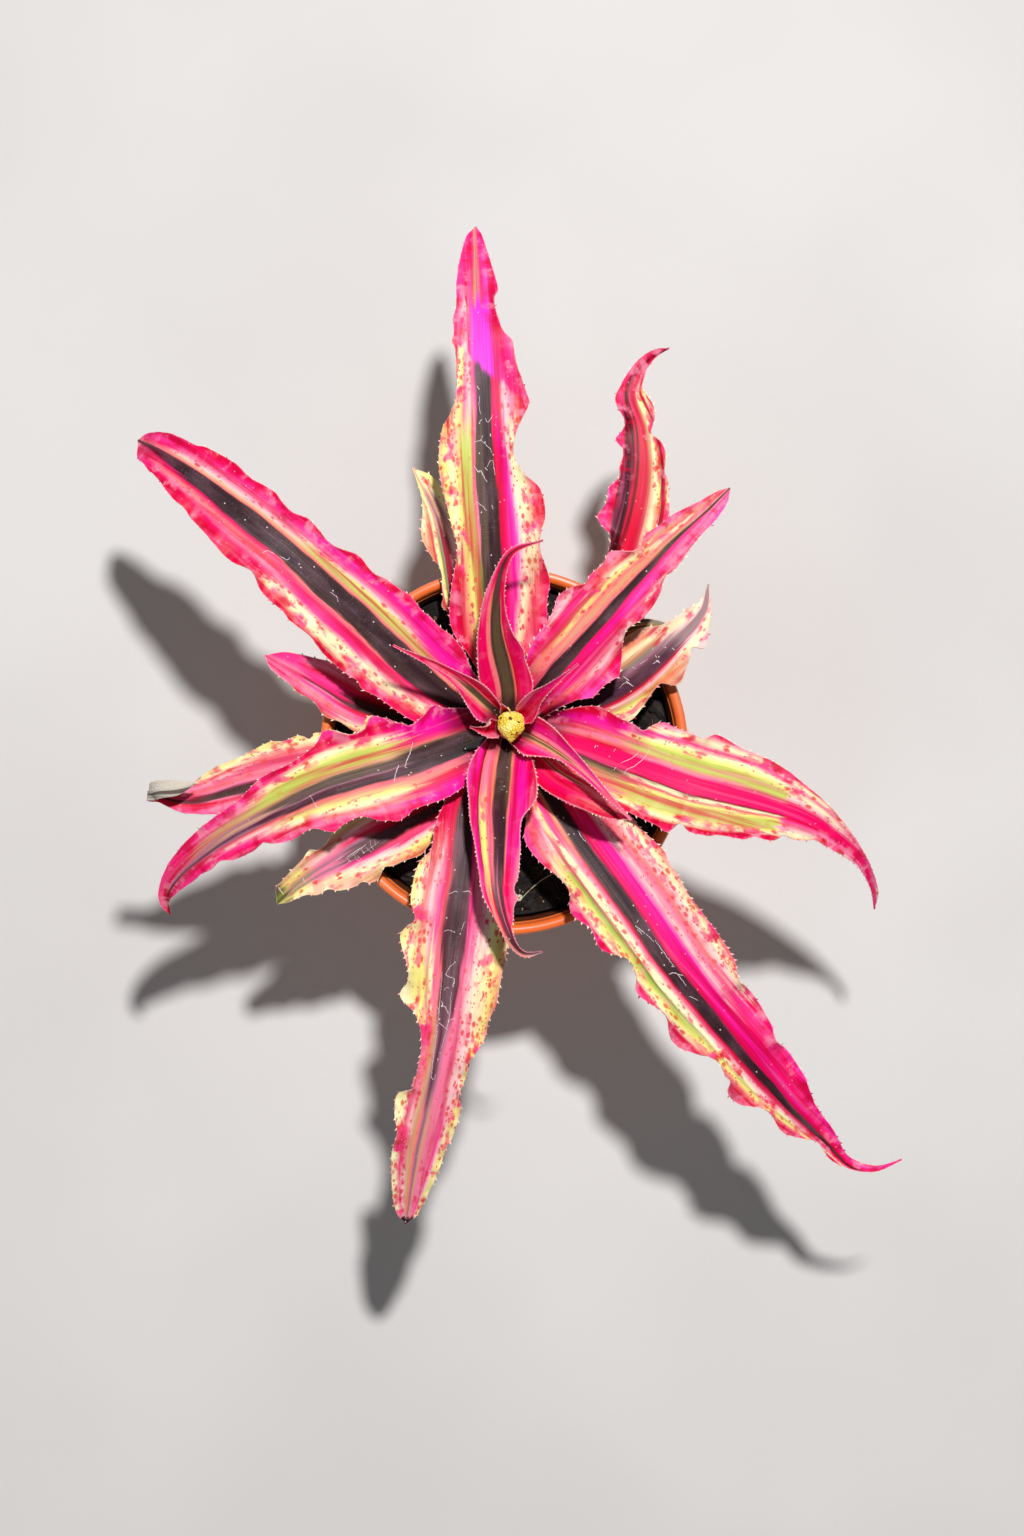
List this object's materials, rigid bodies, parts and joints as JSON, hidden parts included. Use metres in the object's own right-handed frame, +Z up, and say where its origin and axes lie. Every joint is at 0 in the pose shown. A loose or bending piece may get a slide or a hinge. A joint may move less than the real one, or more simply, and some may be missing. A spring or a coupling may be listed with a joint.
{
  "type": "potted earth star bromeliad",
  "caption": "Earth star bromeliad: a flat rosette of waved, spiny pink leaves on a short stem, standing in a round plastic pot of peat soil.",
  "frame": {"origin": "centre of the pot's foot, on the surface that it stands on", "axes": "+Z up; +Y towards the longest back leaf; +X towards the broad right leaf"},
  "size_m": [0.2492, 0.325, 0.146],
  "materials": {
    "pot_plastic": "satin terracotta plastic",
    "peat_soil": "rough crumbly peat",
    "stem": "matt and fibrous",
    "leaf_bright": "satin leaf, pink with cream and dark bands",
    "leaf_old": "satin leaf, faded cream and purple-grey",
    "leaf_young": "satin leaf, hot pink with an olive band",
    "flower_bud": "soft matt bud"
  },
  "bodies": {
    "root": {"pot": "pot_plastic", "soil": "peat_soil", "stem": "stem", "leaf_long_back": "leaf_bright", "leaf_long_back_left": "leaf_bright", "leaf_broad_back_right": "leaf_bright", "leaf_outer_back_right": "leaf_bright", "leaf_broad_right": "leaf_bright", "leaf_long_front_right": "leaf_bright", "leaf_long_front": "leaf_bright", "leaf_broad_left": "leaf_bright", "leaf_under_left": "leaf_bright", "leaf_old_left": "leaf_old", "leaf_old_front_left": "leaf_old", "leaf_old_right": "leaf_old", "leaf_old_back_left": "leaf_old", "leaf_old_curled": "leaf_old", "leaf_inner_back": "leaf_young", "leaf_inner_front": "leaf_young", "leaf_under_front_right": "leaf_young", "leaf_inner_left": "leaf_young", "leaf_inner_front_right": "leaf_young", "leaf_heart_back_right": "leaf_young", "leaf_heart_left": "leaf_young", "leaf_heart_back": "leaf_young", "flower_head": "flower_bud"}
  },
  "joints": []
}
